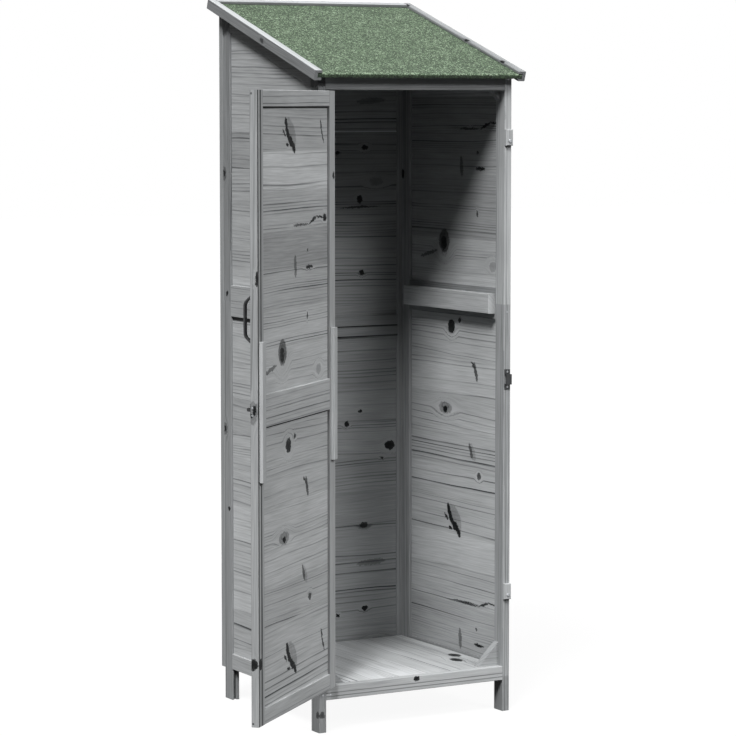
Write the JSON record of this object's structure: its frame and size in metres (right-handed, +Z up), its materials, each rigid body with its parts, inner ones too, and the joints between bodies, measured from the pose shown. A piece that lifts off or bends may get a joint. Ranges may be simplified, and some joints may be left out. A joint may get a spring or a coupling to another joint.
{
  "type": "garden shed",
  "caption": "Tall narrow wooden tool shed on legs, with a sloping felt roof, a hinged front door, a sliding bolt and turn buttons.",
  "frame": {"origin": "centre of the front left leg's sole, on the ground", "axes": "+Z up, +X to the right as seen from the front, +Y from the front to the back"},
  "size_m": [0.9389, 0.8939, 1.7997],
  "materials": {
    "frame_timber": "grey-stained planed softwood",
    "wall_boards": "grey-stained knotty softwood boards",
    "roofing_felt": "green mineral granules on bitumen felt",
    "black_metal": "black powder coat",
    "zinc_steel": "zinc-plated steel"
  },
  "bodies": {
    "carcass": {"back_left_lower_post": "frame_timber", "back_left_upper_post": "frame_timber", "back_lower_boards": "wall_boards", "back_lower_rails": "frame_timber", "back_lower_stiles": "frame_timber", "back_right_lower_post": "frame_timber", "back_right_upper_post": "frame_timber", "back_upper_boards": "wall_boards", "back_upper_rails": "frame_timber", "back_upper_stiles": "frame_timber", "bolt_keeper": "black_metal", "bottom_gussets": "frame_timber", "floor_bearers": "frame_timber", "floor_boards": "wall_boards", "front_bottom_rail": "frame_timber", "front_left_lower_post": "frame_timber", "front_left_upper_post": "frame_timber", "front_right_lower_post": "frame_timber", "front_right_upper_post": "frame_timber", "front_top_rail": "frame_timber", "hinge_pins": "zinc_steel", "hinge_post_leaves": "zinc_steel", "left_barge_board": "frame_timber", "left_joiner_batten": "frame_timber", "left_lower_boards": "wall_boards", "left_lower_rails": "frame_timber", "left_upper_boards": "wall_boards", "left_upper_rails": "frame_timber", "rear_roof_strip": "frame_timber", "right_barge_board": "frame_timber", "right_joiner_batten": "frame_timber", "right_lower_boards": "wall_boards", "right_lower_rails": "frame_timber", "right_upper_boards": "wall_boards", "right_upper_rails": "frame_timber", "roof_deck": "wall_boards", "roof_felt": "roofing_felt", "top_gussets": "frame_timber", "turn_button_screws": "zinc_steel"},
    "door": {"door_handle": "black_metal", "door_joiner_battens": "frame_timber", "door_lower_boards": "wall_boards", "door_lower_rails": "frame_timber", "door_lower_stiles": "frame_timber", "door_upper_boards": "wall_boards", "door_upper_rails": "frame_timber", "door_upper_stiles": "frame_timber", "hinge_door_leaves": "zinc_steel", "bolt_case": "black_metal"},
    "bolt": {"bolt_rod": "black_metal"},
    "upper_button": {"upper_turn_button": "frame_timber"},
    "lower_button": {"lower_turn_button": "frame_timber"}
  },
  "joints": [
    {"name": "door_hinge", "type": "hinge", "parent": "carcass", "child": "door", "pos_m": [0.0115, -0.023, 0.841], "axis": [0, 0, -1], "range_deg": [-139.5, 40.5]},
    {"name": "bolt_slide", "type": "slide", "parent": "door", "child": "bolt", "axis": [-0.7604, -0.6494, 0], "range_m": [0, 0.025]},
    {"name": "upper_button_pivot", "type": "hinge", "parent": "carcass", "child": "upper_button", "pos_m": [0.53, -0.0243, 1.442], "axis": [0, -1, 0], "continuous": true},
    {"name": "lower_button_pivot", "type": "hinge", "parent": "carcass", "child": "lower_button", "pos_m": [0.53, -0.0243, 0.299], "axis": [0, -1, 0], "continuous": true}
  ]
}
